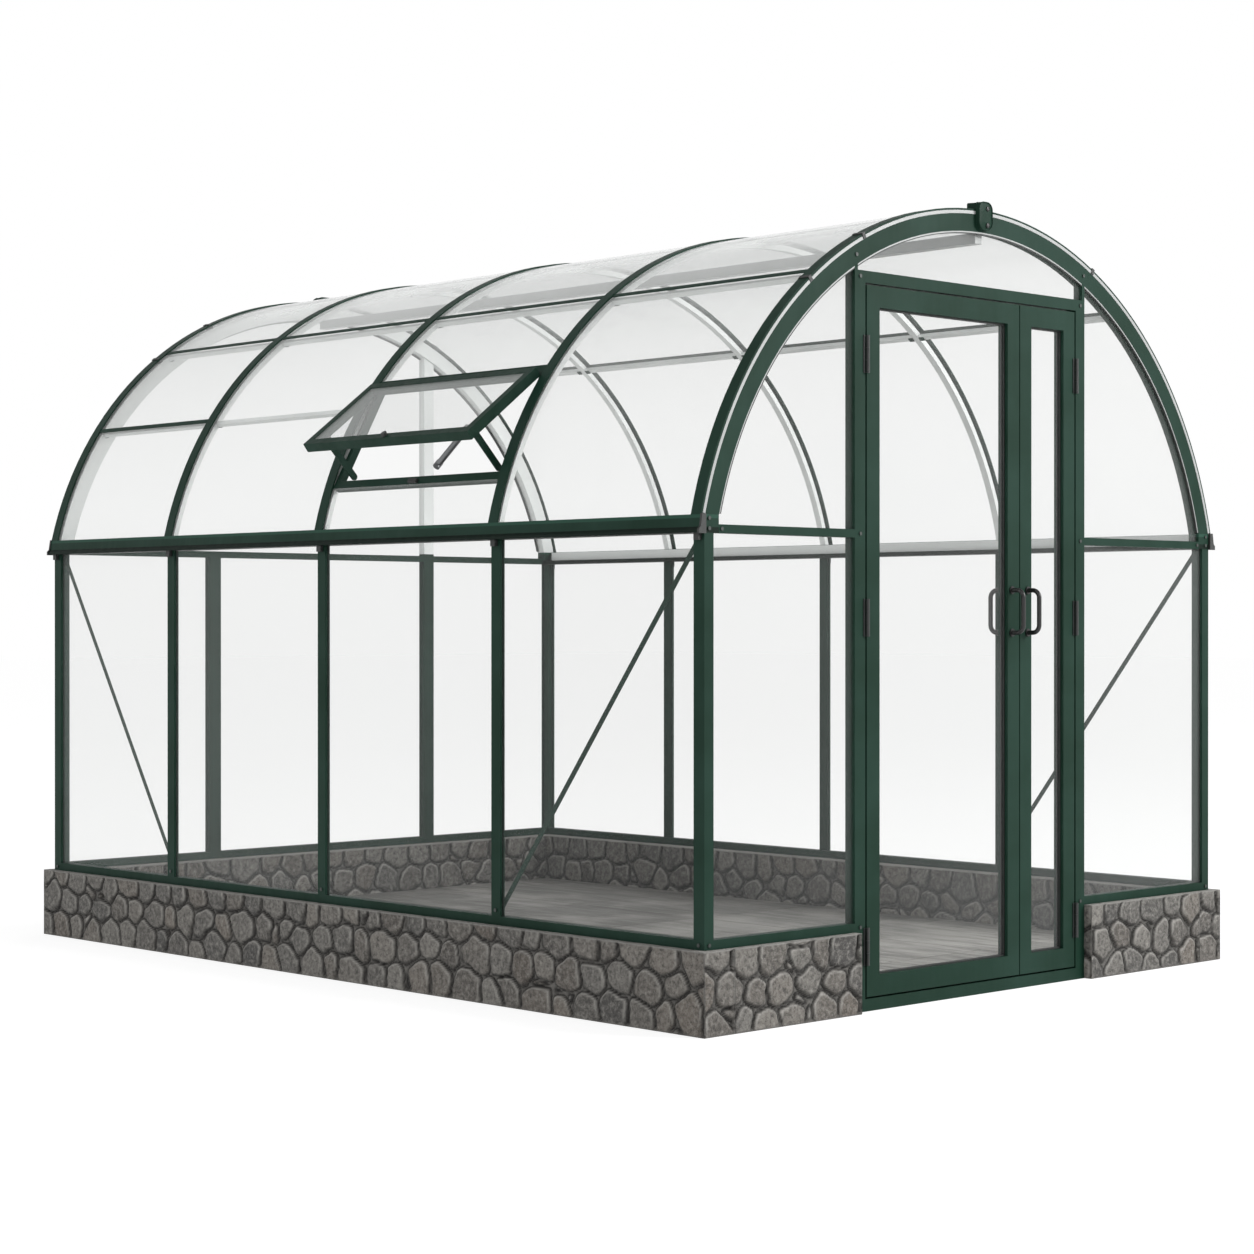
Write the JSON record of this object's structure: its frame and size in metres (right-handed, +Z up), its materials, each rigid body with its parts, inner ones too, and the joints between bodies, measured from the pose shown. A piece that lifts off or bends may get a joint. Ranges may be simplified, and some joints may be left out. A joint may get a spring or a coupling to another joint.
{
  "type": "walk-in arched greenhouse",
  "caption": "Walk-in arched greenhouse with a green metal frame, clear panes, unequal double doors in one gable, an opening roof vent and a low stone plinth.",
  "frame": {"origin": "centre of the frame's footprint on the ground", "axes": "+Z up, Y along the house with the doors at -Y, X across the gables with the vent on the -X slope"},
  "size_m": [2.3204, 3.106, 2.2076],
  "materials": {
    "green_frame": "dark green satin powder coat on extruded profiles",
    "pale_aluminium": "pale satin aluminium inside members",
    "clear_pane": "clear, faintly milky",
    "roof_sheet": "clear sheet, slightly milky",
    "stone": "grey-brown rubble stone with recessed joints",
    "paving": "light grey paving",
    "black_handle": "satin black",
    "black_plastic": "moulded black",
    "black_steel": "black painted",
    "bolt": "dark green painted head",
    "strut_steel": "dark satin steel"
  },
  "bodies": {
    "root": {"corner_posts": "green_frame", "door_head": "green_frame", "door_jamb_left": "green_frame", "door_jamb_right": "green_frame", "door_threshold": "green_frame", "eave_end_caps": "black_plastic", "eave_rail_left": "green_frame", "eave_rail_right": "green_frame", "floor_slab": "paving", "frame_bolts": "bolt", "gable_panes_front": "clear_pane", "gable_panes_rear": "clear_pane", "gable_posts": "green_frame", "gable_rails": "green_frame", "gable_sills": "green_frame", "gutter_clips": "black_plastic", "jamb_hinge_leaves": "black_steel", "plinth_front": "stone", "plinth_left": "stone", "plinth_rear": "stone", "plinth_right": "stone", "purlin_cap_strips": "green_frame", "purlin_clips": "black_plastic", "purlins_left": "pale_aluminium", "purlins_right": "pale_aluminium", "rib_cap_strips": "green_frame", "rib_front": "green_frame", "rib_rear": "green_frame", "ribs_middle": "pale_aluminium", "ridge_beam": "pale_aluminium", "ridge_capping": "green_frame", "ridge_end_brackets": "green_frame", "roof_panes_left": "roof_sheet", "roof_panes_right": "roof_sheet", "side_panes_left": "clear_pane", "side_panes_right": "clear_pane", "side_posts_left": "green_frame", "side_posts_right": "green_frame", "side_sills": "green_frame", "vent_catch": "black_plastic", "vent_frame": "green_frame", "vent_hinge_fixed": "black_steel", "wind_braces": "green_frame"},
    "wide_door": {"wide_door_frame": "green_frame", "wide_door_handles": "black_handle", "wide_door_hinge_leaves": "black_steel", "wide_door_pane": "clear_pane"},
    "narrow_door": {"narrow_door_frame": "green_frame", "narrow_door_handles": "black_handle", "narrow_door_hinge_leaves": "black_steel", "narrow_door_pane": "clear_pane"},
    "vent_sash": {"vent_hinge_moving": "black_steel", "vent_knobs": "black_plastic", "vent_sash_frame": "green_frame", "vent_sash_pane": "clear_pane", "vent_stay_lugs": "green_frame"},
    "front_stay": {"vent_stay_front": "green_frame"},
    "rear_stay": {"vent_stay_rear": "green_frame"},
    "strut": {"vent_strut": "strut_steel"}
  },
  "joints": [
    {"name": "wide_door_swing", "type": "hinge", "parent": "root", "child": "wide_door", "pos_m": [-0.491, -1.522, 1], "axis": [0, 0, -1], "range_deg": [0, 110]},
    {"name": "narrow_door_swing", "type": "hinge", "parent": "root", "child": "narrow_door", "pos_m": [0.427, -1.522, 1], "axis": [0, 0, 1], "range_deg": [0, 110]},
    {"name": "vent_swing", "type": "hinge", "parent": "root", "child": "vent_sash", "pos_m": [-0.91334, -0.331, 1.72525], "axis": [0, 1, 0], "range_deg": [-24, 0]},
    {"name": "front_stay_fold", "type": "hinge", "parent": "vent_sash", "child": "front_stay", "pos_m": [-1.13961, -0.672, 1.56354], "axis": [0, 1, 0], "range_deg": [-84, 0]},
    {"name": "rear_stay_fold", "type": "hinge", "parent": "vent_sash", "child": "rear_stay", "pos_m": [-1.13961, -0.028, 1.56354], "axis": [0, 1, 0], "range_deg": [-84, 0]},
    {"name": "strut_fold", "type": "hinge", "parent": "vent_sash", "child": "strut", "pos_m": [-1.13961, -0.64, 1.56354], "axis": [-0.7108, 0, -0.7034], "range_deg": [-28, 0]}
  ],
  "couplings": [
    {"joint": "front_stay_fold", "follows": "vent_swing", "ratio": 3.5},
    {"joint": "rear_stay_fold", "follows": "vent_swing", "ratio": 3.5},
    {"joint": "strut_fold", "follows": "vent_swing", "ratio": 1.1667}
  ]
}
